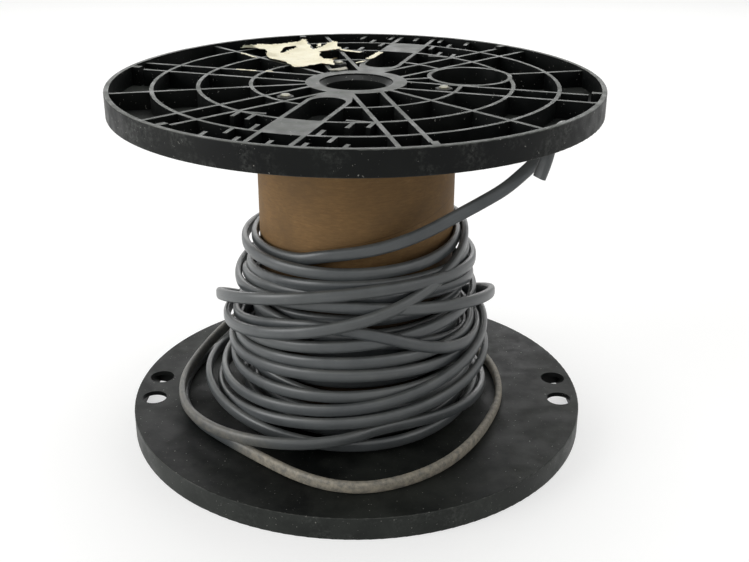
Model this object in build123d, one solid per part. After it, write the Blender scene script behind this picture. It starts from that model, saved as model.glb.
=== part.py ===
"""A moulded cable reel standing on end, partly wound with loose flat cable.

Millimetres, +Z up along the reel's axis, origin at the centre of the lower rim's foot.
Each flange is modelled with its winding face at z = 0 and its ribbed face upwards.
"""
from build123d import *
from math import cos, pi, radians, sin, sqrt, tan
import os

# Flange
FLANGE_RADIUS = 203.2
FLANGE_THICKNESS = 20.0
WEB_THICKNESS = 4.0
RIM_WALL = 4.0
RIM_EDGE_RADIUS = 0.8
RIB_DROP = 2.0
RIB_THICKNESS = 3.6
RING_THICKNESS = 3.2
RING_RADII = (86.4, 128.9, 165.9)

# Hub
ARBOR_RADIUS = 25.4
ARBOR_MOUTH_RADIUS = 30.6
ARBOR_MOUTH_STEP = 1.2
ARBOR_MOUTH_CONE = 3.4
HUB_WALL = 11.4

# Spokes
SINGLE_SPOKE_ANGLES = (12.0, 132.0, 192.0, 312.0)
PAIR_ANGLES = (42.0, 102.0, 162.0, 222.0, 282.0, 342.0)
PAIR_HALF_SPACING = 12.1
SHORT_SPOKE_GAP = 10.5
SPOKE_TAB_THICKNESS = 5.6
SPOKE_TAB_LENGTH = 8.0

# Slot bays, with the fins beside them
SLOT_ANGLES = (72.0, 252.0)
SLOT_HALF_WIDTH = 14.5
SLOT_HEAD_DISTANCE = 72.3
SLOT_NECK_HALF_WIDTH = 10.8
SLOT_NECK_LENGTH = 25.0
FIN_THICKNESS = 3.4
FIN_LENGTH = 15.5
FIN_OFFSETS = (24.8, 38.0, 52.0)
TIE_FIN_DISTANCE = 118.9
TIE_FIN_REACH = (31.0, 51.0)

# Round well
WELL_ANGLE = 12.0
WELL_DISTANCE = 97.8
WELL_RADIUS = 32.2

# Cable-end holes in the web
END_HOLE_RADIUS = 11.0
END_HOLE_TO_RIM = 2.2
END_HOLE_BAY_ANGLES = (145.0, 325.0)
END_HOLE_HALF_ANGLE = 6.0

# Barrel
BARREL_RADIUS = 84.0
BARREL_WALL = 5.0
BARREL_LENGTH = 269.5

# Tie rods with their nuts
ROD_RADIUS = 3.97
ROD_ANGLES = (102.0, 222.0, 342.0)
ROD_TO_BARREL = 0.6
ROD_HOLE_CLEARANCE = 0.35
ROD_END_BELOW_RIM = 0.4
ROD_END_PAST_NUT = 1.6
ROD_END_CHAMFER = 0.8
NUT_ACROSS_FLATS = 12.7
NUT_HEIGHT = 6.75
NUT_CORNER_CHAMFER = 0.9
BOSS_WALL = 4.2

# Remnant of a paper label, lying on the ribs
LABEL_THICKNESS = 0.4
LABEL_OUTLINE = (
    (-108, 131), (-107, 145), (-97, 144), (-84, 148), (-54, 161), (-53, 173),
    (-48, 176), (-47, 158), (-40, 127), (-27, 151), (-22, 163), (-17, 160),
    (-17, 146), (-14, 125), (-34, 116), (-30, 85), (-14, 80), (-20, 76),
    (-19, 57), (-31, 63), (-48, 48), (-54, 40), (-58, 59), (-78, 84),
    (-81, 98), (-84, 119), (-95, 134),
)

# Cable, a flat cord of this width
CABLE_WIDTH = 10.3
CABLE_FLOOR_GAP = 0.15

# The loose coil's build-up over the barrel, at heights above the lower winding face
WINDING_BUILD_UP = (
    (35.0, 0.0), (38.0, 30.0), (39.0, 65.0), (42.0, 92.0), (43.0, 104.0),
    (28.0, 120.0), (23.0, 140.0), (18.0, 156.0), (11.0, 167.0), (0.0, 172.0),
)

# Routes of the cable's loose stretches. Heights are from the winding face of the lower flange.
LOW_LOOP_RUN = (
    (-66, 104), (-98, 99), (-126, 78), (-144, 44), (-149, 6), (-145, -32),
    (-135, -64), (-120, -92), (-100, -114), (-75, -132), (-48, -153), (-22, -167),
    (6, -171), (34, -163), (59, -148), (80, -128), (99, -101), (115, -69),
    (129, -30), (132, 16), (122, 60), (98, 94), (60, 112),
)
LEFT_LOOP_RUN = (
    (-82, 92, 52), (-112, 79, 42), (-135, 56, 29), (-150, 28, 20), (-158, -2, 16.5),
    (-157, -34, 16.0), (-149, -62, 16.0), (-133, -87, 16.2), (-112, -106, 16.8),
    (-87, -120, 18), (-60, -129, 19.5), (-32, -131, 21), (-5, -125, 22), (17, -112, 23),
)
TAIL_RUN = (
    (-48, -76.8, 160), (-30, -85.5, 166), (-10, -90.2, 170), (12, -90.8, 173.4), (34, -90.2, 179.6),
    (54, -89.6, 188), (76, -89.0, 200.4), (98, -90.0, 213.6), (116, -90.6, 224.5),
    (131, -90.2, 237), (143.5, -90.0, 248), (154, -90.4, 259.5), (161.8, -92.2, 270.5),
    (158.4, -99.0, 282.0), (148.0, -113.9, 283.2), (141.4, -122.0, 271), (138.6, -124.2, 257.5),
    (134.5, -124.6, 244.5),
)

BARREL_BASE = FLANGE_THICKNESS
BARREL_TOP = BARREL_BASE + BARREL_LENGTH
OVERALL_HEIGHT = BARREL_TOP + FLANGE_THICKNESS
RIB_TOP = FLANGE_THICKNESS - RIB_DROP
RIM_INNER_RADIUS = FLANGE_RADIUS - RIM_WALL
END_HOLE_DISTANCE = RIM_INNER_RADIUS - END_HOLE_TO_RIM - END_HOLE_RADIUS
HUB_RADIUS = ARBOR_MOUTH_RADIUS + HUB_WALL
ROD_CIRCLE_RADIUS = BARREL_RADIUS - BARREL_WALL - ROD_RADIUS - ROD_TO_BARREL
NUT_SEAT = FLANGE_THICKNESS - ROD_END_BELOW_RIM - ROD_END_PAST_NUT - NUT_HEIGHT
LOWER_FLIP_ANGLE = (ROD_ANGLES[0] + ROD_ANGLES[1]) / 2


def polar(distance, angle):
    """Gives the place at a distance and angle from the axis."""
    return Pos(distance * cos(radians(angle)), distance * sin(radians(angle)))


def bar(angle, offset, start, end, thickness):
    """Draws a straight bar beside a radial line, from one distance to another."""
    return Rot(0, 0, angle) * Pos((start + end) / 2, offset) * Rectangle(end - start, thickness)


def ring(radius, thickness):
    """Draws a circular rib about its middle radius."""
    return Circle(radius + thickness / 2) - Circle(radius - thickness / 2)


def across(radius, offset):
    """Gives how far along a radial line a circle is crossed at a sideways offset."""
    return sqrt(radius ** 2 - offset ** 2)


def spokes():
    """Draws the single spokes and the pairs, whose left spoke stops short of the rim."""
    start = HUB_RADIUS - RIB_THICKNESS
    reach = RIM_INNER_RADIUS + RIM_WALL / 2
    drawing = Sketch()
    for angle in SINGLE_SPOKE_ANGLES:
        drawing += bar(angle, 0, start, reach, RIB_THICKNESS)
    for angle in PAIR_ANGLES:
        short = across(RIM_INNER_RADIUS, PAIR_HALF_SPACING) - SHORT_SPOKE_GAP
        drawing += bar(angle, -PAIR_HALF_SPACING, start, reach, RIB_THICKNESS)
        drawing += bar(angle, PAIR_HALF_SPACING, start, short, RIB_THICKNESS)
    return drawing


def slot_area(angle, start, end):
    """Draws the inside of a slot bay between two distances."""
    return bar(angle, 0, start, end, 2 * SLOT_HALF_WIDTH)


def slot_walls(angle):
    """Draws a slot bay's head and side walls as one filled shape."""
    half = SLOT_HALF_WIDTH + RIB_THICKNESS
    neck = HUB_RADIUS + SLOT_NECK_LENGTH
    points = (
        (HUB_RADIUS - RIB_THICKNESS, -SLOT_NECK_HALF_WIDTH), (neck, -half),
        (RIM_INNER_RADIUS, -half), (RIM_INNER_RADIUS, half), (neck, half),
        (HUB_RADIUS - RIB_THICKNESS, SLOT_NECK_HALF_WIDTH),
    )
    return Rot(0, 0, angle) * make_face(Polyline(*points, close=True))


def fins(angle):
    """Draws the short fins on the rings and rim beside and in a slot bay."""
    inner, outer = RING_RADII[1], RING_RADII[2]
    drawing = Sketch()
    for side in (-1, 1):
        near, middle, far = [side * offset for offset in FIN_OFFSETS]
        for offset in (near, far):
            rim = across(RIM_INNER_RADIUS, offset)
            drawing += bar(angle, offset, rim - FIN_LENGTH, rim, FIN_THICKNESS)
        for radius, offset in ((outer, middle), (inner, middle), (inner, far)):
            root = across(radius, offset)
            drawing += bar(angle, offset, root, root + FIN_LENGTH, FIN_THICKNESS)
        root = across(outer, near)
        drawing += bar(angle, near, root - FIN_LENGTH, root, FIN_THICKNESS)
        low, high = TIE_FIN_REACH
        tie = Rectangle(FIN_THICKNESS, high - low)
        drawing += Rot(0, 0, angle) * Pos(TIE_FIN_DISTANCE, side * (low + high) / 2) * tie
    return drawing


def rib_plan():
    """Draws every rib seen on the outer face, at the height of the rib tops."""
    drawing = spokes() + Circle(HUB_RADIUS)
    for radius in RING_RADII:
        drawing += ring(radius, RING_THICKNESS)
    for angle in SLOT_ANGLES:
        drawing += slot_walls(angle)
        drawing += fins(angle)
    well = polar(WELL_DISTANCE, WELL_ANGLE)
    drawing += well * Circle(WELL_RADIUS + RIB_THICKNESS)
    drawing -= well * Circle(WELL_RADIUS)
    for angle in SLOT_ANGLES:
        plate_start = RING_RADII[1] + RING_THICKNESS / 2
        plate_end = RING_RADII[2] - RING_THICKNESS / 2
        hollow = slot_area(angle, SLOT_HEAD_DISTANCE, RIM_INNER_RADIUS)
        hollow += polar(SLOT_HEAD_DISTANCE, angle) * Circle(SLOT_HALF_WIDTH)
        plate = Circle(plate_end + RING_THICKNESS) - Circle(plate_start - RING_THICKNESS)
        drawing -= hollow
        drawing += plate & slot_area(angle, SLOT_HEAD_DISTANCE, RIM_INNER_RADIUS)
        drawing += bar(angle, 0, RIM_INNER_RADIUS - FIN_LENGTH, RIM_INNER_RADIUS, FIN_THICKNESS)
    return drawing


def spoke_tabs():
    """Makes the thick tabs on the rim, in line with the short spokes."""
    tabs = Part()
    reach = across(RIM_INNER_RADIUS, PAIR_HALF_SPACING)
    for angle in PAIR_ANGLES:
        plan = bar(angle, PAIR_HALF_SPACING, reach - SPOKE_TAB_LENGTH, reach + RIM_WALL / 2,
                   SPOKE_TAB_THICKNESS)
        tabs += extrude(plan, FLANGE_THICKNESS)
    return tabs


def arbor_cut():
    """Makes the arbor hole with its stepped, coned mouth on the ribbed face."""
    step = RIB_TOP - ARBOR_MOUTH_STEP
    cone = step - ARBOR_MOUTH_CONE
    outline = Polyline(
        (0, -1), (ARBOR_RADIUS, -1), (ARBOR_RADIUS, cone), (ARBOR_MOUTH_RADIUS, step),
        (ARBOR_MOUTH_RADIUS, FLANGE_THICKNESS), (0, FLANGE_THICKNESS), close=True,
    )
    return revolve(make_face(Plane.XZ * outline), Axis.Z)


def flange():
    """Makes one moulded flange: web, rim, ribs, rod bosses and holes."""
    body = extrude(Circle(FLANGE_RADIUS), FLANGE_THICKNESS)
    body = fillet(body.edges(), RIM_EDGE_RADIUS)
    body -= Pos(0, 0, WEB_THICKNESS) * extrude(Circle(RIM_INNER_RADIUS), FLANGE_THICKNESS)
    ribs = rib_plan() & Circle(RIM_INNER_RADIUS + RIM_WALL / 2)
    body += extrude(ribs, RIB_TOP)
    body += spoke_tabs() & extrude(Circle(RIM_INNER_RADIUS + RIM_WALL / 2), FLANGE_THICKNESS)
    rod_hole = ROD_RADIUS + ROD_HOLE_CLEARANCE
    for angle in ROD_ANGLES:
        place = polar(ROD_CIRCLE_RADIUS, angle)
        body += extrude(place * Circle(rod_hole + BOSS_WALL), NUT_SEAT)
        pocket = extrude(place * Circle(rod_hole + BOSS_WALL), FLANGE_THICKNESS)
        body -= Pos(0, 0, NUT_SEAT) * pocket
        body -= extrude(place * Circle(rod_hole), FLANGE_THICKNESS, both=True)
    for bay in END_HOLE_BAY_ANGLES:
        for turn in (-END_HOLE_HALF_ANGLE, END_HOLE_HALF_ANGLE):
            place = polar(END_HOLE_DISTANCE, bay + turn)
            body -= extrude(place * Circle(END_HOLE_RADIUS), FLANGE_THICKNESS, both=True)
    return body - arbor_cut()


def turned_over(shape):
    """Turns a shape over about the level line that brings its rod holes back in line."""
    angle = LOWER_FLIP_ANGLE
    return Rot(0, 0, angle) * Rot(180, 0, 0) * Rot(0, 0, -angle) * shape


def barrel():
    """Makes the cardboard tube that the flanges are clamped on."""
    wall = Circle(BARREL_RADIUS) - Circle(BARREL_RADIUS - BARREL_WALL)
    return Pos(0, 0, BARREL_BASE) * extrude(wall, BARREL_LENGTH)


def tie_rod(angle):
    """Makes one rod from nut to nut, with chamfered ends."""
    length = OVERALL_HEIGHT - 2 * ROD_END_BELOW_RIM
    rod = chamfer(extrude(Circle(ROD_RADIUS), length).edges(), ROD_END_CHAMFER)
    return polar(ROD_CIRCLE_RADIUS, angle) * Pos(0, 0, ROD_END_BELOW_RIM) * rod


def nut(angle):
    """Makes one nut on its boss in the upper flange's own frame."""
    corner = NUT_ACROSS_FLATS / 2 / cos(radians(30))
    body = extrude(RegularPolygon(corner, 6), NUT_HEIGHT)
    flat_radius = corner - NUT_CORNER_CHAMFER
    rise = NUT_CORNER_CHAMFER * tan(radians(30))
    outline = Polyline(
        (0, 0), (flat_radius, 0), (corner, rise), (corner, NUT_HEIGHT - rise),
        (flat_radius, NUT_HEIGHT), (0, NUT_HEIGHT), close=True,
    )
    body &= revolve(make_face(Plane.XZ * outline), Axis.Z)
    body -= extrude(Circle(ROD_RADIUS), NUT_HEIGHT)
    return polar(ROD_CIRCLE_RADIUS, angle) * Pos(0, 0, NUT_SEAT) * Rot(0, 0, angle) * body


def label_remnant():
    """Makes the torn paper label that is left on the upper ribs."""
    plan = make_face(Polyline(*LABEL_OUTLINE, close=True))
    return Pos(0, 0, BARREL_TOP + RIB_TOP) * extrude(plan, LABEL_THICKNESS)


def winding():
    """Makes the outer shape of the loose coil as one turned solid round the barrel."""
    outline = [(BARREL_RADIUS, 0.0)]
    outline += [(BARREL_RADIUS + build_up, height) for build_up, height in WINDING_BUILD_UP]
    face = make_face(Plane.XZ * Polyline(*outline, close=True))
    return Pos(0, 0, BARREL_BASE) * revolve(face, Axis.Z)


def corner_radii(points):
    """Works out each corner's arc: 0.45 of the shorter run over the half turn's tangent."""
    radii = []
    for before, here, after in zip(points, points[1:], points[2:]):
        into, out = here - before, after - here
        half_turn = radians(into.get_angle(out)) / 2
        radii.append(0.45 * min(into.length, out.length) / tan(half_turn))
    return radii


def cable_tube(name, run):
    """Sweeps a round tube of the cable's width along a route, and prints its arcs."""
    points = [Vector(*point) + Vector(0, 0, BARREL_BASE) for point in run]
    radii = corner_radii(points)
    path = FilletPolyline(*points, radius=radii)
    start = Plane(origin=path @ 0, z_dir=path % 0)
    tube = sweep(start * Circle(CABLE_WIDTH / 2), path=path)
    ratio = tube.volume / (pi * CABLE_WIDTH ** 2 / 4 * path.length)
    print(name, "length", round(path.length), "volume ratio", round(ratio, 4),
          "arc radii", [round(radius, 1) for radius in radii])
    return tube


def build():
    """Makes every piece in its place, by its node's name."""
    outer = flange()
    upper = Pos(0, 0, BARREL_TOP)
    lower = Pos(0, 0, BARREL_BASE)
    low_height = CABLE_WIDTH / 2 + CABLE_FLOOR_GAP
    low_run = [(x, y, low_height) for x, y in LOW_LOOP_RUN]
    pieces = {
        "lower_flange": lower * turned_over(outer),
        "upper_flange": upper * outer,
        "barrel": barrel(),
        "label_remnant": label_remnant(),
        "cable_winding": winding(),
        "cable_low_loop": cable_tube("cable_low_loop", low_run),
        "cable_left_loop": cable_tube("cable_left_loop", LEFT_LOOP_RUN),
        "cable_tail": cable_tube("cable_tail", TAIL_RUN),
    }
    for number, angle in enumerate(ROD_ANGLES, start=1):
        pieces[f"tie_rod_{number}"] = tie_rod(angle)
        pieces[f"upper_nut_{number}"] = upper * nut(angle)
        pieces[f"lower_nut_{number}"] = lower * turned_over(nut(angle))
    return pieces


os.makedirs("parts", exist_ok=True)
for node, shape in build().items():
    export_step(shape, f"parts/{node}.step")
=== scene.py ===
import math

import bmesh
import bpy
import numpy as np
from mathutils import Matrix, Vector, noise


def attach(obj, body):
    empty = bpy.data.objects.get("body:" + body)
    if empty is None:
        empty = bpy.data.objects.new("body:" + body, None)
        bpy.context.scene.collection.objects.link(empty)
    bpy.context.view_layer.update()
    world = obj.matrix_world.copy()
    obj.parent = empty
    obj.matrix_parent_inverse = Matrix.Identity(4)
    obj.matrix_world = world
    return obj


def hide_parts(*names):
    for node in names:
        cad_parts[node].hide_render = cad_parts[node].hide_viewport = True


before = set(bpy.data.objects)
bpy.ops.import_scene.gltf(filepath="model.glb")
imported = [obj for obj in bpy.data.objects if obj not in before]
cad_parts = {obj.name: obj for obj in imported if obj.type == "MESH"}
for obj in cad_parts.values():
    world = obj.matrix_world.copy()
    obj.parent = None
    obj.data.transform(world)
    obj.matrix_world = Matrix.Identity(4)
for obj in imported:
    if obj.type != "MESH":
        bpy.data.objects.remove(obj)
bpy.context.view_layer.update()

MM = 0.001

# Sizes shared with the frame, in millimetres
BARREL_RADIUS = 84.0
WINDING_FLOOR = 20.0
RIB_TOPS = 307.5
CABLE_WIDTH = 10.3
CABLE_THICKNESS = 6.2

# Camera, as it stood in the photograph: place in metres, then turns in radians
CAMERA_PLACE = (0.0, -0.87120, 0.50662)
CAMERA_PITCH = 0.4099
CAMERA_YAW = 0.0181
CAMERA_ROLL = -0.0038
CAMERA_LENS = 51.18
CAMERA_SENSOR = 36.0

# Loose stretches of the cable, at heights over the lower flange's winding face. The low loop lies on the
# flange, the left loop stands off over it, and the tail climbs from the coil through the upper flange.
LOW_LOOP_HEIGHT = 5.3
LOW_LOOP = (
    (-66, 104), (-98, 101), (-127, 87), (-148, 58), (-157.5, 24), (-158.5, -10),
    (-152, -43), (-136, -71), (-115, -93), (-94, -113), (-72, -133), (-48, -153), (-22, -167),
    (6, -171), (34, -163), (59, -148), (80, -128), (99, -101), (115, -69),
    (129, -30), (132, 16), (122, 60), (98, 94), (60, 112),
)
LEFT_LOOP = (
    (-82, 92, 52), (-112, 79, 42), (-135, 56, 29), (-150, 28, 20), (-158, -2, 16.5),
    (-157, -34, 16.0), (-149, -62, 16.0), (-133, -87, 16.2), (-112, -106, 16.8),
    (-87, -120, 18), (-60, -129, 19.5), (-32, -131, 21), (-5, -125, 22), (17, -112, 23),
)
TAIL = (
    (-48, -76.8, 160), (-30, -85.5, 166), (-10, -90.2, 170), (12, -90.8, 173.4), (34, -90.2, 179.6),
    (54, -89.6, 188), (76, -89.0, 200.4), (98, -90.0, 213.6), (115, -90.6, 224.5),
    (128.5, -90.2, 237), (139.8, -90.0, 248.6), (149.8, -90.4, 261), (157.6, -91.8, 270.5),
    (157.5, -98.0, 278.4), (148.6, -113.2, 278.4), (141.2, -121.8, 268.5), (138.6, -124.2, 256.5),
    (134.5, -124.6, 244.5),
)

# Dust from the ground: where along the two loops it starts and ends, in route points, and how thick it lies
LOW_LOOP_HIDDEN = 8
LOW_LOOP_DUST = 1.0
LEFT_LOOP_CLEAN = 4
LEFT_LOOP_DUST = 0.30

# Each turn's radius and height at the left, the front and the right of the reel, and at the back of a few
FIRST_TURNS = ((91, 7, 92, 7, 92, 8),)
INNER_TURNS = (
    (104, 22, 103, 15, 98, 18),
    (93, 20, 93, 27, 94, 30),
    (90, 34, 92, 41, 92, 44),
    (90, 49, 91, 55, 92, 58),
    (92, 62, 92, 70, 91, 71),
    (90, 76, 92, 84, 92, 86),
    (91, 91, 93, 98, 91, 99),
    (90, 104, 92, 112, 93, 113),
    (91, 118, 92, 127, 91, 128),
    (97, 112, 101, 98, 99, 72),
    (103, 60, 104, 44, 103, 38),
)
UPPER_TURNS = (
    (138, 27, 121, 13, 110, 22),
    (127, 18, 124, 35, 118, 54),
    (122, 33, 120, 46, 115, 76),
    (114, 47, 116, 54.5, 112, 64),
    (113, 62, 114, 73.6, 107, 66),
    (108, 68, 112, 83.6, 104, 80),
    (106, 77, 110, 98, 104, 108),
    (109, 84, 111, 112, 108, 73),
    (117.5, 82.5, 118, 120, 95.5, 162),
    (106, 121, 110, 132, 121, 98, 96, 68),
    (98, 124, 104, 138, 103, 120, 96, 62),
    (122, 99, 112, 146, 101.6, 139),
    (95.5, 131, 104, 148, 98, 145),
    (98, 154, 102, 154, 88.5, 161),
)
# Extra rows where a turn dips behind the coil: the angle along all the turns, radius and height
DIPS = ((3195, 112, 80), (3990, 105, 68), (4470, 106, 67))
TURN_STEP = 22.5
# Rounds and gaps that keep turns beside each other and off the barrel and the flange
RELAX_ROUNDS = 160
TURN_GAP = 0.5
BARREL_GAP = 0.6
FLOOR_GAP = 0.15


def polar_angle(point):
    """Gives the angle of a place about the reel's axis, in degrees from 0 to 360."""
    return math.degrees(math.atan2(point[1], point[0])) % 360


def turn_rows(turns, start, end):
    """Lists (angle, radius, height) at the left, front, right and back, where no back is given a mean."""
    rows = [start]
    left = start[0] - start[0] % 360 + 180
    if left < start[0]:
        left += 360
    for number, turn in enumerate(turns):
        at_left, at_front, at_right = turn[0:2], turn[2:4], turn[4:6]
        following = turns[number + 1][0:2] if number + 1 < len(turns) else end[1:]
        rows.append((left, *at_left))
        rows.append((left + 90, *at_front))
        rows.append((left + 180, *at_right))
        if left + 270 < end[0] - TURN_STEP / 2:
            middle = [(a + b) / 2 for a, b in zip(at_right, following)]
            rows.append((left + 270, *(turn[6:8] or middle)))
        left += 360
    rows.append(end)
    return rows


def turn_points(rows):
    """Works out the points of the turns between the rows, along smooth cubic arcs."""
    table = np.array(rows, float)
    angle, value = table[:, 0], table[:, 1:]
    slope = np.gradient(value, angle, axis=0)
    count = round((angle[-1] - angle[0]) / TURN_STEP)
    at = np.linspace(angle[0], angle[-1], count + 1)
    low = np.clip(np.searchsorted(angle, at, side="right") - 1, 0, len(angle) - 2)
    span = (angle[low + 1] - angle[low])[:, None]
    u = (at - angle[low])[:, None] / span
    place = (2 * u ** 3 - 3 * u ** 2 + 1) * value[low] + (3 * u ** 2 - 2 * u ** 3) * value[low + 1]
    place += (u ** 3 - 2 * u ** 2 + u) * span * slope[low] + (u ** 3 - u ** 2) * span * slope[low + 1]
    turn = np.radians(at)
    return np.stack([place[:, 0] * np.cos(turn), place[:, 0] * np.sin(turn), place[:, 1]], axis=1)


def settle_turns(points, free):
    """Pushes turns that cross apart until most lie beside the next, and keeps the loops still."""
    place, wanted = points.copy(), points.copy()
    squash = np.array([1.0, 1.0, CABLE_THICKNESS / CABLE_WIDTH])
    apart = CABLE_THICKNESS + TURN_GAP
    nearest = BARREL_RADIUS + CABLE_THICKNESS / 2 + BARREL_GAP
    order = np.arange(len(place))
    bend = np.zeros_like(place)
    bend[1:-1] = (wanted[:-2] + wanted[2:]) / 2 - wanted[1:-1]
    for _ in range(RELAX_ROUNDS):
        middles = (place[:-1] + place[1:]) / 2
        probes = np.vstack([place, middles]) * squash
        owner = np.concatenate([order, order[:-1] + 0.5])
        gap = probes[:, None, :] - probes[None, :, :]
        distance = np.sqrt((gap ** 2).sum(axis=2)) + 1e-9
        touching = (distance < apart) & (np.abs(owner[:, None] - owner[None, :]) > 4)
        one, other = np.nonzero(touching)
        if not len(one):
            break
        near = distance[one, other][:, None]
        push = gap[one, other] / near * (apart - near) / 2 / squash
        move, weight = np.zeros_like(place), np.zeros(len(place))
        for end in (np.floor(owner[one]).astype(int), np.ceil(owner[one]).astype(int)):
            np.add.at(move, end, push / 2)
            np.add.at(weight, end, 0.5)
        move *= 0.9 / np.maximum(weight, 1)[:, None]
        move[1:-1] = move[1:-1] / 2 + (move[:-2] + move[2:]) / 4
        now = np.zeros_like(place)
        now[1:-1] = (place[:-2] + place[2:]) / 2 - place[1:-1]
        change = move + 0.25 * (now - bend) + 0.02 * (wanted - place)
        place[free] += change[free]
        radius = np.hypot(place[:, 0], place[:, 1])
        sunk = free & (radius < nearest)
        place[sunk, :2] *= (nearest / radius[sunk])[:, None]
        place[free, 2] = np.maximum(place[free, 2], CABLE_WIDTH / 2 + FLOOR_GAP)
    return place


def cable_route():
    """Joins the coil and the loose stretches into one route in metres, and lists its two dusty runs."""
    low_loop = np.array([(x, y, LOW_LOOP_HEIGHT) for x, y in LOW_LOOP], float)
    left_loop, tail = np.array(LEFT_LOOP, float), np.array(TAIL, float)
    first = turn_rows(FIRST_TURNS, (60, 89, 7), (polar_angle(low_loop[0]) + 360 - TURN_STEP, 113, 6))
    second = turn_rows(
        INNER_TURNS, (polar_angle(low_loop[-1]) + TURN_STEP, 118, 7),
        (polar_angle(left_loop[0]) + 360 * len(INNER_TURNS) - TURN_STEP, 116, 46))
    last_angle = 360 * (len(UPPER_TURNS) + 1)
    upper = [(polar_angle(left_loop[-1]) + TURN_STEP, 112, 21), (360, 117, 11)]
    upper += turn_rows(UPPER_TURNS, (450, 124, 16), (last_angle + 180, 89.8, 157))
    upper.append((last_angle + polar_angle(tail[0]) - TURN_STEP, 90.4, 157.6))
    upper = sorted(upper + list(DIPS))
    parts = [turn_points(first), low_loop, turn_points(second), left_loop, turn_points(upper), tail]
    free = np.concatenate([np.full(len(part), number % 2 == 0) for number, part in enumerate(parts)])
    settled = settle_turns(np.vstack(parts), free)
    settled[:, 2] += WINDING_FLOOR
    ends = np.cumsum([len(part) for part in parts])
    dusty_runs = (
        (ends[0] + LOW_LOOP_HIDDEN, ends[1], LOW_LOOP_DUST),
        (ends[2], ends[3] - LEFT_LOOP_CLEAN, LEFT_LOOP_DUST),
    )
    return settled * MM, dusty_runs


def place_camera():
    """Puts the camera where the photograph was taken from."""
    forward = Vector((
        math.sin(CAMERA_YAW) * math.cos(CAMERA_PITCH),
        math.cos(CAMERA_YAW) * math.cos(CAMERA_PITCH),
        -math.sin(CAMERA_PITCH)))
    level = Vector((math.cos(CAMERA_YAW), -math.sin(CAMERA_YAW), 0))
    down = forward.cross(level)
    right = math.cos(CAMERA_ROLL) * level + math.sin(CAMERA_ROLL) * down
    below = math.cos(CAMERA_ROLL) * down - math.sin(CAMERA_ROLL) * level
    data = bpy.data.cameras.new("camera")
    data.lens = CAMERA_LENS
    data.sensor_width = CAMERA_SENSOR
    camera = bpy.data.objects.new("camera", data)
    bpy.context.scene.collection.objects.link(camera)
    for column, axis in enumerate((right, -below, -forward)):
        for row in range(3):
            camera.matrix_world[row][column] = axis[row]
    camera.location = CAMERA_PLACE
    bpy.context.scene.camera = camera


place_camera()
bpy.context.scene.view_settings.view_transform = "Standard"


def select_only(piece):
    """Makes one object the selected and active one."""
    bpy.ops.object.select_all(action="DESELECT")
    piece.select_set(True)
    bpy.context.view_layer.objects.active = piece


def apply_modifiers(piece):
    """Applies every modifier of a piece, in order."""
    select_only(piece)
    for name in [modifier.name for modifier in piece.modifiers]:
        bpy.ops.object.modifier_apply(modifier=name)


def settle_place(piece):
    """Moves a finished piece's place and turn into its mesh."""
    select_only(piece)
    bpy.ops.object.transform_apply(location=True, rotation=True, scale=True)


# Colour and node helpers

def linear(code):
    """Turns an sRGB hex colour into the linear colour that a shader takes."""
    values = [int(code[start:start + 2], 16) / 255 for start in (1, 3, 5)]
    light = [v / 12.92 if v <= 0.04045 else ((v + 0.055) / 1.055) ** 2.4 for v in values]
    return (*light, 1.0)


def per_mm(size):
    """Gives the texture scale whose pattern repeats about every so many millimetres."""
    return 1.0 / (size * MM)


def add(tree, kind, links=None, **settings):
    """Adds a node, sets its properties, and links or sets the inputs named."""
    node = tree.nodes.new(kind)
    for name, value in settings.items():
        setattr(node, name, value)
    for name, value in (links or {}).items():
        if isinstance(value, bpy.types.NodeSocket):
            tree.links.new(value, node.inputs[name])
        else:
            node.inputs[name].default_value = value
    return node


def new_material(name):
    """Starts a material, and gives its tree, its shader and its object coordinates."""
    material = bpy.data.materials.new(name)
    material.use_nodes = True
    tree = material.node_tree
    shader = tree.nodes["Principled BSDF"]
    place = add(tree, "ShaderNodeTexCoord").outputs["Object"]
    return material, tree, shader, place


def grain(tree, place, size, detail=3.0, roughness=0.55, distortion=0.0):
    """Adds noise of a real size in millimetres."""
    return add(tree, "ShaderNodeTexNoise", {
        "Vector": place, "Scale": per_mm(size), "Detail": detail, "Roughness": roughness,
        "Distortion": distortion}).outputs["Fac"]


def between(tree, value, low, high, start=0.0, end=1.0):
    """Maps a value from one range to another, clamped."""
    return add(tree, "ShaderNodeMapRange", {
        "Value": value, "From Min": low, "From Max": high, "To Min": start, "To Max": end}).outputs["Result"]


def times(tree, one, other):
    """Multiplies two values."""
    node = add(tree, "ShaderNodeMath", operation="MULTIPLY")
    for socket, value in zip(node.inputs, (one, other)):
        if isinstance(value, bpy.types.NodeSocket):
            tree.links.new(value, socket)
        else:
            socket.default_value = value
    return node.outputs["Value"]


def mixed(tree, amount, first, second, blend="MIX"):
    """Mixes two colours, each a linked colour or a hex code."""
    node = add(tree, "ShaderNodeMix", data_type="RGBA", blend_type=blend)
    for socket, value in ((node.inputs[0], amount), (node.inputs[6], first), (node.inputs[7], second)):
        if isinstance(value, bpy.types.NodeSocket):
            tree.links.new(value, socket)
        else:
            socket.default_value = linear(value) if isinstance(value, str) else value
    return node.outputs[2]


def stretched(tree, place, scale):
    """Stretches a pattern's coordinates."""
    return add(tree, "ShaderNodeMapping", {"Vector": place, "Scale": scale}).outputs["Vector"]


def upward(tree):
    """Gives how far a surface faces up, from the mesh's own normal."""
    normal = add(tree, "ShaderNodeNewGeometry").outputs["Normal"]
    return add(tree, "ShaderNodeSeparateXYZ", {"Vector": normal}).outputs["Z"]


def relief(tree, shader, height, depth_mm, strength=1.0):
    """Turns a height into the shader's bump, of a depth in millimetres."""
    bump = add(tree, "ShaderNodeBump", {"Height": height, "Distance": depth_mm * MM, "Strength": strength})
    tree.links.new(bump.outputs["Normal"], shader.inputs["Normal"])


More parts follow.
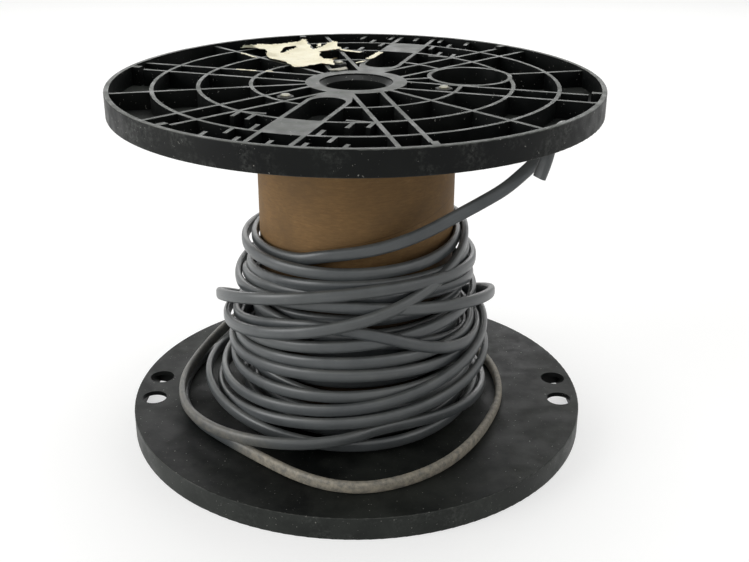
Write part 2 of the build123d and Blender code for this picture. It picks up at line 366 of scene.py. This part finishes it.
# The flanges' wear, by distance from the reel's middle height: rib tops, and the rims' two edges
FLANGE_MIDDLE = 154.75
RIM_RADIUS = 203.2
WORN_FROM = 152.0
OUTER_EDGE = 154.3
INNER_EDGE = 134.75
EDGE_WEAR = 0.7
EDGE_FADE = 0.3
# The lower flange's rim is splashed from the ground up to its winding face
SPLASHED_TO = 20.0
# Well under a clean moulding's 0.5, for a weathered skin that hardly mirrors a white room
FLANGE_GLOSS = 0.11


def moulded_black_plastic():
    """Black polystyrene, injection moulded and stacked outdoors: satin, scuffed grey, dusty on top."""
    material, tree, shader, place = new_material("black_polystyrene_moulded")
    facing = upward(tree)
    scuffs = times(tree, between(tree, grain(tree, place, 34, 5, 0.62), 0.50, 0.64),
                   between(tree, grain(tree, place, 3.2, 5, 0.72), 0.44, 0.66))
    dust = times(tree, between(tree, facing, 0.35, 0.95),
                 between(tree, grain(tree, place, 60, 6, 0.65), 0.42, 0.66, 0.02, 0.24))
    parts = add(tree, "ShaderNodeSeparateXYZ", {"Vector": place})
    middle = add(tree, "ShaderNodeMath", {0: parts.outputs["Z"], 1: FLANGE_MIDDLE * MM}, operation="SUBTRACT")
    reach = add(tree, "ShaderNodeMath", {0: middle.outputs["Value"]}, operation="ABSOLUTE").outputs["Value"]
    level = add(tree, "ShaderNodeMath", {0: facing}, operation="ABSOLUTE").outputs["Value"]
    rubbed = times(tree, between(tree, reach, WORN_FROM * MM, (WORN_FROM + 0.5) * MM), between(tree, level, 0.6, 0.9))
    flat_place = add(tree, "ShaderNodeVectorMath", {0: place, 1: (1, 1, 0)}, operation="MULTIPLY")
    radius = add(tree, "ShaderNodeVectorMath", {0: flat_place.outputs["Vector"]}, operation="LENGTH").outputs["Value"]
    outside = between(tree, radius, (RIM_RADIUS - EDGE_WEAR) * MM, (RIM_RADIUS - EDGE_FADE) * MM)
    outer_edge = between(tree, reach, OUTER_EDGE * MM, (OUTER_EDGE + EDGE_FADE) * MM)
    inner_edge = between(tree, reach, (INNER_EDGE + EDGE_WEAR) * MM, INNER_EDGE * MM)
    corner = add(tree, "ShaderNodeMath", {0: outer_edge, 1: inner_edge}, operation="MAXIMUM").outputs["Value"]
    edges = times(tree, times(tree, outside, corner), between(tree, grain(tree, place, 9, 4, 0.7), 0.35, 0.6, 0.2, 1))
    specks = between(tree, grain(tree, place, 2.0, 2), 0.71, 0.74)
    colour = mixed(tree, between(tree, grain(tree, place, 90, 3), 0.4, 0.6), "#0b0d0d", "#131514")
    colour = mixed(tree, dust, colour, "#52554f")
    colour = mixed(tree, times(tree, rubbed, 0.45), colour, "#6a6d68")
    near_floor = between(tree, parts.outputs["Z"], (SPLASHED_TO + 1) * MM, SPLASHED_TO * MM)
    grime = between(tree, grain(tree, place, 28, 5, 0.6), 0.3, 0.65, 0.35, 0.8)
    colour = mixed(tree, times(tree, times(tree, near_floor, outside), grime), colour, "#3f423f")
    colour = mixed(tree, times(tree, times(tree, scuffs, outside), 0.60), colour, "#565855")
    colour = mixed(tree, times(tree, edges, 0.55), colour, "#7b7c77")
    colour = mixed(tree, times(tree, specks, 0.8), colour, "#a3a29c")
    tree.links.new(colour, shader.inputs["Base Color"])
    rough = between(tree, grain(tree, place, 14, 4), 0.35, 0.65, 0.36, 0.52)
    rough = add(tree, "ShaderNodeMath", {0: rough, 1: times(tree, dust, 0.45)}, operation="ADD").outputs["Value"]
    tree.links.new(rough, shader.inputs["Roughness"])
    shader.inputs["IOR"].default_value = 1.55
    shader.inputs["Specular IOR Level"].default_value = FLANGE_GLOSS
    relief(tree, shader, grain(tree, place, 2.6, 4), 0.12, 0.5)
    return material


# The paper strip's width along the tube, its seam's share of it, and the heights over which painted shade darkens the
# tube under the coil
STRIP_WIDTH = 112.0
SEAM_SHARE = 0.004
COIL_SHADE_FROM = 150.0
COIL_SHADE_TO = 178.0


def wound_cardboard():
    """Kraft cardboard tube, spirally wound from paper strip: matt brown with seams, fibres and rubbed marks."""
    material, tree, shader, place = new_material("kraft_cardboard_spiral_wound")
    parts = add(tree, "ShaderNodeSeparateXYZ", {"Vector": place})
    turn = add(tree, "ShaderNodeMath", {0: parts.outputs["Y"], 1: parts.outputs["X"]}, operation="ARCTAN2")
    climb = times(tree, turn.outputs["Value"], STRIP_WIDTH * MM / (2 * math.pi))
    height = add(tree, "ShaderNodeMath", {0: parts.outputs["Z"], 1: climb}, operation="SUBTRACT")
    strip = add(tree, "ShaderNodeMath", {0: height.outputs["Value"], 1: STRIP_WIDTH * MM}, operation="DIVIDE")
    share = add(tree, "ShaderNodeMath", {0: strip.outputs["Value"]}, operation="FRACT").outputs["Value"]
    seam = add(tree, "ShaderNodeMath", {0: share, 1: SEAM_SHARE}, operation="LESS_THAN").outputs["Value"]
    fibres = grain(tree, stretched(tree, place, (1, 1, 5)), 7, 5, 0.7)
    blotches = grain(tree, place, 34, 4, 0.6)
    marks = between(tree, grain(tree, stretched(tree, place, (1, 1, 2.4)), 12, 3), 0.62, 0.76)
    colour = mixed(tree, between(tree, fibres, 0.3, 0.7), "#735633", "#8f7048")
    colour = mixed(tree, between(tree, blotches, 0.35, 0.7, 0, 0.55), colour, "#5f4a30")
    colour = mixed(tree, times(tree, marks, 0.30), colour, "#a3875f")
    colour = mixed(tree, times(tree, seam, 0.6), colour, "#49371f")
    # Painted shade: the tube darkens towards the bottom, into the coil, standing in for the shade that its turns cast
    # on it
    coil_shade = between(tree, parts.outputs["Z"], COIL_SHADE_FROM * MM, COIL_SHADE_TO * MM, 0.88, 0.0)
    colour = mixed(tree, coil_shade, colour, "#241c13")
    tree.links.new(colour, shader.inputs["Base Color"])
    tree.links.new(between(tree, fibres, 0.3, 0.7, 0.62, 0.8), shader.inputs["Roughness"])
    shader.inputs["IOR"].default_value = 1.45
    shader.inputs["Specular IOR Level"].default_value = 0.35
    relief(tree, shader, fibres, 0.25, 0.5)
    return material


def cable_sheath():
    """Grey PVC sheath, extruded: satin, faintly ribbed along its length, dusty where it lay on the ground."""
    material, tree, shader, place = new_material("grey_pvc_extruded_sheath")
    along = add(tree, "ShaderNodeUVMap", uv_map="sheath").outputs["UV"]
    dusty = add(tree, "ShaderNodeAttribute", attribute_name="dust").outputs["Fac"]
    facing = upward(tree)
    streaks = grain(tree, stretched(tree, along, (0.05, 1.0, 1.0)), 3.0, 4)
    patches = grain(tree, place, 26, 4, 0.6)
    scuffs = between(tree, grain(tree, stretched(tree, along, (0.25, 1.0, 1.0)), 2.2, 5, 0.7), 0.62, 0.74)
    colour = mixed(tree, between(tree, patches, 0.35, 0.65), "#474b4d", "#575b5d")
    strands = grain(tree, along, 240, 2)
    colour = mixed(tree, between(tree, strands, 0.42, 0.62, 0, 0.45), colour, "#6d706f")
    colour = mixed(tree, between(tree, streaks, 0.35, 0.65, 0, 0.35), colour, "#373b3d")
    colour = mixed(tree, times(tree, scuffs, 0.30), colour, "#8f908a")
    film = times(tree, between(tree, facing, 0.2, 1.0, 0.0, 0.35), between(tree, patches, 0.4, 0.6, 0.3, 1.0))
    colour = mixed(tree, film, colour, "#83827b")
    grime = between(tree, grain(tree, place, 6, 6, 0.75), 0.38, 0.6, 0.3, 1.0)
    colour = mixed(tree, times(tree, dusty, grime), colour, "#aaa291")
    tree.links.new(colour, shader.inputs["Base Color"])
    rough = between(tree, streaks, 0.3, 0.7, 0.30, 0.42)
    rough = add(tree, "ShaderNodeMath", {0: rough, 1: times(tree, dusty, 0.25)}, operation="ADD").outputs["Value"]
    tree.links.new(rough, shader.inputs["Roughness"])
    shader.inputs["IOR"].default_value = 1.53
    relief(tree, shader, streaks, 0.10, 0.5)
    return material


# Soiled corners of the label: place, reach and colour
PAPER_SPOTS = (
    ((-106, 137, 309), 13, "#77755f"),
    ((-15, 78, 309), 10, "#93835f"),
    ((-14, 44, 308), 13, "#a39f90"),
)


def torn_paper():
    """Coated white label paper, torn off and weathered: matt, soiled, brown at its damp edges."""
    material, tree, shader, place = new_material("white_label_paper_torn")
    soil = grain(tree, place, 17, 5, 0.7)
    flecks = between(tree, grain(tree, place, 1.6, 3), 0.66, 0.74)
    colour = mixed(tree, between(tree, soil, 0.35, 0.75, 0, 0.75), "#fdf7dd", "#ebe0bd")
    colour = mixed(tree, between(tree, grain(tree, place, 42, 2), 0.58, 0.72, 0, 0.6), colour, "#b3a583")
    colour = mixed(tree, times(tree, flecks, 0.6), colour, "#5b564c")
    for spot, reach, tint in PAPER_SPOTS:
        gap = add(tree, "ShaderNodeVectorMath", {0: place, 1: [v * MM for v in spot]}, operation="DISTANCE")
        near = between(tree, gap.outputs["Value"], reach * MM, (reach - 4) * MM)
        colour = mixed(tree, near, colour, tint)
    tree.links.new(colour, shader.inputs["Base Color"])
    shader.inputs["Roughness"].default_value = 0.78
    shader.inputs["Subsurface Weight"].default_value = 0.05
    relief(tree, shader, grain(tree, place, 2.0, 5, 0.65), 0.18, 0.6)
    return material


# A screw of 18 threads per inch, and the bands that a wave texture draws in one unit of its scale
THREAD_PITCH = 1.411
WAVE_BANDS = 20 / (2 * math.pi)
# How much smoother the clean zinc is than the white bloom on it
BLOOM_SPREAD = 0.26


def zinc_plated_steel(name, dull, bright, metallic, roughest):
    """Mild steel, zinc plated, then dulled outdoors: grey, with the rod's thread and white bloom."""
    material, tree, shader, place = new_material(name)
    bloom = grain(tree, place, 5, 4, 0.65)
    colour = mixed(tree, between(tree, bloom, 0.35, 0.7), dull, bright)
    tree.links.new(colour, shader.inputs["Base Color"])
    shader.inputs["Metallic"].default_value = metallic
    tree.links.new(between(tree, bloom, 0.3, 0.7, roughest - BLOOM_SPREAD, roughest), shader.inputs["Roughness"])
    thread = add(tree, "ShaderNodeTexWave", {"Vector": place, "Scale": per_mm(THREAD_PITCH) / WAVE_BANDS},
                 wave_type="BANDS", bands_direction="Z", wave_profile="TRI")
    relief(tree, shader, thread.outputs["Fac"], 0.35, 0.6)
    return material


def finish(piece, material):
    """Gives a piece one material, in place of any it had."""
    piece.data.materials.clear()
    piece.data.materials.append(material)


# Cable: its oval section, and where the tail turns edge on, in metres before its end

SECTION_POINTS = 20
SECTION_ROUNDNESS = 2.7
SPLINE_STEPS = 8
TAIL_TURN_START = 0.165
TAIL_TURN_END = 0.085
SHEATH_CREASE = 50
# How far the dust takes to fade, and how far the route's points stand apart
DUST_FADE = 50.0
POINT_SPACING = 35.0


def spline_points(route):
    """Reads the points along the cable's own NURBS line."""
    curve = bpy.data.curves.new("cable_line", "CURVE")
    curve.dimensions = "3D"
    curve.resolution_u = SPLINE_STEPS
    spline = curve.splines.new("NURBS")
    spline.points.add(len(route) - 1)
    for point, place in zip(spline.points, route):
        point.co = (*place, 1.0)
    spline.order_u = 3
    spline.use_endpoint_u = True
    holder = bpy.data.objects.new("cable_line", curve)
    line = bpy.data.meshes.new_from_object(holder)
    points = np.array([vertex.co for vertex in line.vertices])
    bpy.data.objects.remove(holder)
    return points


def cable_frames(path):
    """Gives the tangent, the broad way and the thin way of the flat cable at each point."""
    tangent = np.gradient(path, axis=0)
    tangent /= np.linalg.norm(tangent, axis=1)[:, None]
    steps = np.linalg.norm(np.diff(path, axis=0), axis=1)
    left = steps.sum() - np.concatenate([[0], np.cumsum(steps)])
    turn = np.clip((TAIL_TURN_START - left) / (TAIL_TURN_START - TAIL_TURN_END), 0, 1)[:, None]
    turn = turn * turn * (3 - 2 * turn)
    inward = -path * (1, 1, 0)
    inward /= np.linalg.norm(inward, axis=1)[:, None]
    broad = (1 - turn) * np.array([0, 0, 1.0]) + turn * inward
    broad -= (broad * tangent).sum(axis=1)[:, None] * tangent
    broad /= np.linalg.norm(broad, axis=1)[:, None]
    return broad, np.cross(tangent, broad), left


def make_cable():
    """Sweeps the oval sheath along the whole route, from the winding's start to its cut end."""
    route, dusty_runs = cable_route()
    path = spline_points(route)
    broad, thin, left = cable_frames(path)
    angles = np.linspace(0, 2 * math.pi, SECTION_POINTS, endpoint=False)
    power = 2 / SECTION_ROUNDNESS
    up = np.sign(np.sin(angles)) * np.abs(np.sin(angles)) ** power * CABLE_WIDTH / 2 * MM
    out = np.sign(np.cos(angles)) * np.abs(np.cos(angles)) ** power * CABLE_THICKNESS / 2 * MM
    rings = path[:, None, :] + up[None, :, None] * broad[:, None, :] + out[None, :, None] * thin[:, None, :]
    mesh = bpy.data.meshes.new("cable")
    count = len(path)
    faces = []
    for row in range(count - 1):
        for column in range(SECTION_POINTS):
            after = (column + 1) % SECTION_POINTS
            low, high = row * SECTION_POINTS, (row + 1) * SECTION_POINTS
            faces.append((low + column, high + column, high + after, low + after))
    faces.append(tuple(range(SECTION_POINTS)))
    faces.append(tuple(range((count - 1) * SECTION_POINTS, count * SECTION_POINTS))[::-1])
    mesh.from_pydata(rings.reshape(-1, 3).tolist(), [], faces)
    cable = bpy.data.objects.new("cable", mesh)
    bpy.context.scene.collection.objects.link(cable)
    select_only(cable)
    bpy.ops.object.mode_set(mode="EDIT")
    bpy.ops.mesh.select_all(action="SELECT")
    bpy.ops.mesh.normals_make_consistent(inside=False)
    bpy.ops.object.mode_set(mode="OBJECT")
    bpy.ops.object.shade_smooth_by_angle(angle=math.radians(SHEATH_CREASE))
    done = left[0] - left
    layer = mesh.uv_layers.new(name="sheath")
    girth = 2 * (CABLE_WIDTH + CABLE_THICKNESS) * MM
    for polygon in mesh.polygons:
        for loop in polygon.loop_indices:
            row, column = divmod(mesh.loops[loop].vertex_index, SECTION_POINTS)
            around = abs(column / SECTION_POINTS - 0.5) * girth
            layer.data[loop].uv = (done[row], around)
    share = np.arange(count) / (count - 1) * (len(route) - 1)
    fade = DUST_FADE / POINT_SPACING
    dust = np.zeros(count)
    for start, end, most in dusty_runs:
        dust = np.maximum(dust, most * np.clip((share - start) / fade, 0, 1) * np.clip((end - share) / fade, 0, 1))
    attribute = mesh.attributes.new("dust", "FLOAT", "POINT")
    attribute.data.foreach_set("value", np.repeat(dust, SECTION_POINTS).astype(np.float32))
    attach(cable, "root")
    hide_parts("cable_winding", "cable_low_loop", "cable_left_loop", "cable_tail")
    return cable


# Label, on the level of the rib tops

LABEL_OUTLINE = (
    (-108, 131), (-107, 145), (-97, 144), (-84, 148), (-54, 161), (-53, 173),
    (-48, 176), (-47, 158), (-40, 127), (-27, 151), (-22, 163), (-17, 160),
    (-17, 146), (-14, 125), (-34, 116), (-30, 85), (-14, 80), (-20, 76),
    (-19, 57), (-31, 63), (-48, 48), (-54, 40), (-58, 59), (-78, 84),
    (-81, 98), (-84, 119), (-95, 134),
)
LABEL_HOLE = ((-67, 136), (-57, 140), (-56, 128), (-62, 117), (-69, 110))
# Scraps of the label and of its glue that stayed on the ribs
LABEL_SCRAPS = (
    ((-106, 116), (-90, 96), (-90, 92), (-106, 112)),
    ((-104, 47), (-86, 41), (-85, 38), (-104, 44)),
    ((-77, 38), (-71, 37), (-71, 34), (-77, 34)),
    ((-1, 73), (8, 81), (8, 77), (-1, 69)),
    ((9, 87), (13, 99), (21, 121), (25, 116), (17, 95), (12, 84)),
    ((-15, 135), (-8, 127), (5, 121), (4, 116), (-9, 119), (-15, 126)),
    ((-37, 156), (-33, 158), (-33, 146), (-37, 143)),
    ((-23, 45), (-9, 53), (-7, 45), (-16, 38), (-22, 39)),
)
LABEL_CELL = 1.1
LABEL_THICKNESS = 0.25
# How raggedly the paper and its scraps are torn, coarse and fine, and how far the scraps spread
TEAR = 2.2
FINE_TEAR = 0.8
SCRAP_TEAR = 0.7
SCRAP_GROWTH = 0.6
# How the paper lies: off the ribs, in two sizes of wrinkle, and curled up near its torn edges
LABEL_CLEARANCE = 0.35
WRINKLE = 0.7
FINE_WRINKLE = 0.25
CURL_WIDTH = 9
LEAST_CURL = 1.6
MORE_CURL = 3.4
SCRAP_CURL = 0.1


def inside(point, outline):
    """Says whether a flat point lies inside an outline."""
    x, y = point
    result = False
    for (x0, y0), (x1, y1) in zip(outline, outline[1:] + outline[:1]):
        if (y0 > y) != (y1 > y) and x < (x1 - x0) * (y - y0) / (y1 - y0) + x0:
            result = not result
    return result


def depth_inside(point, outline):
    """Gives how deep a flat point lies inside an outline, below zero outside it."""
    place = Vector(point)
    nearest = 1e9
    for start, end in zip(outline, outline[1:] + outline[:1]):
        side = Vector(end) - Vector(start)
        share = max(0.0, min(1.0, (place - Vector(start)).dot(side) / side.length_squared))
        nearest = min(nearest, (Vector(start) + share * side - place).length)
    return nearest if inside(point, outline) else -nearest


def make_label():
    """Cuts the torn remnant from a fine sheet, wrinkles it over the ribs and curls its torn edges."""
    xs, ys = zip(*LABEL_OUTLINE, *(point for scrap in LABEL_SCRAPS for point in scrap))
    width, depth = max(xs) - min(xs), max(ys) - min(ys)
    middle = ((max(xs) + min(xs)) / 2, (max(ys) + min(ys)) / 2)
    bpy.ops.object.select_all(action="DESELECT")
    bpy.ops.mesh.primitive_grid_add(
        x_subdivisions=round(width / LABEL_CELL), y_subdivisions=round(depth / LABEL_CELL), size=1,
        location=(middle[0] * MM, middle[1] * MM, 0))
    label = bpy.context.object
    label.name = "label_paper"
    label.scale = (width * MM, depth * MM, 1)
    settle_place(label)
    mesh = bmesh.new()
    mesh.from_mesh(label.data)
    outline, hole = list(LABEL_OUTLINE), list(LABEL_HOLE)
    for vertex in mesh.verts:
        x, y = vertex.co.x / MM, vertex.co.y / MM
        ragged = TEAR * noise.noise((x / 7, y / 7, 3.0)) + FINE_TEAR * noise.noise((x / 1.9, y / 1.9, 8.0))
        keep = min(depth_inside((x, y), outline), -depth_inside((x, y), hole)) + ragged
        scrap = max(depth_inside((x, y), list(shape)) for shape in LABEL_SCRAPS)
        scrap += SCRAP_GROWTH + SCRAP_TEAR * noise.noise((x / 2.5, y / 2.5, 4.0))
        vertex.tag = max(keep, scrap) < 0
        curl = max(0.0, 1 - keep / CURL_WIDTH) ** 2 if keep > 0 else SCRAP_CURL
        lift = curl * (LEAST_CURL + MORE_CURL * max(0.0, noise.noise((x / 21, y / 21, 5.0))))
        wave = WRINKLE * noise.noise((x / 13, y / 13, 1.0)) + FINE_WRINKLE * noise.noise((x / 4, y / 4, 2.0))
        vertex.co.z = (RIB_TOPS + LABEL_CLEARANCE + max(wave, -FINE_WRINKLE) + lift) * MM
    gone = [vertex for vertex in mesh.verts if vertex.tag]
    bmesh.ops.delete(mesh, geom=gone, context="VERTS")
    loose = [vertex for vertex in mesh.verts if not vertex.link_faces]
    bmesh.ops.delete(mesh, geom=loose, context="VERTS")
    mesh.to_mesh(label.data)
    mesh.free()
    wall = label.modifiers.new("wall", "SOLIDIFY")
    wall.thickness = LABEL_THICKNESS * MM
    wall.offset = 0
    apply_modifiers(label)
    select_only(label)
    bpy.ops.object.shade_smooth_by_angle(angle=math.radians(60))
    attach(label, "root")
    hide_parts("label_remnant")
    return label


# Floor, backdrop and light

FLOOR_SIZE = 40.0
# How far the floor glows to the camera, and how strongly the white room lights the reel
FLOOR_GLOW = 0.6
ROOM_LIGHT = 0.30


def shown_rays(tree):
    """Gives 1 for rays from the camera, and from gloss and glass, and 0 for the rays that light things."""
    rays = add(tree, "ShaderNodeLightPath")
    shown = rays.outputs["Is Camera Ray"]
    for name in ("Is Glossy Ray", "Is Transmission Ray"):
        shown = add(tree, "ShaderNodeMath", {0: shown, 1: rays.outputs[name]}, operation="MAXIMUM").outputs["Value"]
    return shown


def make_floor():
    """Lays the pale floor under the reel."""
    bpy.ops.object.select_all(action="DESELECT")
    bpy.ops.mesh.primitive_plane_add(size=FLOOR_SIZE, location=(0, 0, 0))
    floor = bpy.context.object
    floor.name = "floor"
    material = bpy.data.materials.new("pale_floor")
    material.use_nodes = True
    tree = material.node_tree
    shader = tree.nodes["Principled BSDF"]
    shader.inputs["Base Color"].default_value = linear("#b8b8b6")
    shader.inputs["Roughness"].default_value = 0.9
    shader.inputs["Emission Color"].default_value = (1, 1, 1, 1)
    tree.links.new(times(tree, shown_rays(tree), FLOOR_GLOW), shader.inputs["Emission Strength"])
    floor.data.materials.append(material)


def light_world():
    """Fills the room with soft light, and shows it white to the camera, glass and gloss."""
    world = bpy.data.worlds.new("studio")
    bpy.context.scene.world = world
    world.use_nodes = True
    tree = world.node_tree
    back = tree.nodes["Background"]
    tree.links.new(between(tree, shown_rays(tree), 0, 1, ROOM_LIGHT, 1.0), back.inputs["Strength"])
    back.inputs["Color"].default_value = (1, 1, 1, 1)


def add_lamp(name, place, size, power, height=None, aim=(0, 0, 0.15)):
    """Hangs one soft lamp that points at the reel, square unless it has a height of its own."""
    data = bpy.data.lights.new(name, "AREA")
    data.shape = "RECTANGLE"
    data.size = size
    data.size_y = height or size
    data.energy = power
    lamp = bpy.data.objects.new(name, data)
    bpy.context.scene.collection.objects.link(lamp)
    lamp.location = place
    lamp.rotation_euler = (Vector(aim) - Vector(place)).to_track_quat("-Z", "Y").to_euler()


# The dressed reel

sheath = cable_sheath()
cable = make_cable()
finish(cable, sheath)
plastic, cardboard = moulded_black_plastic(), wound_cardboard()
rod_steel = zinc_plated_steel("mild_steel_zinc_plated_cut", "#6a695e", "#918f80", 0.85, 0.60)
nut_steel = zinc_plated_steel("mild_steel_zinc_plated_dull", "#1a1b19", "#34342f", 0.35, 0.85)
for name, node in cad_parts.items():
    if "flange" in name:
        finish(node, plastic)
    elif name == "barrel":
        finish(node, cardboard)
    elif "rod" in name:
        finish(node, rod_steel)
    elif "nut" in name:
        finish(node, nut_steel)
label = make_label()
finish(label, torn_paper())
make_floor()
light_world()
add_lamp("window", (-2.0, -0.9, 0.8), 1.4, 27)
add_lamp("overhead", (0.1, 0.3, 2.3), 1.3, 23)
add_lamp("rear_strip", (0.0, 2.4, 0.95), 3.0, 13, height=0.35)
add_lamp("fill", (2.0, -1.4, 0.7), 1.4, 6)
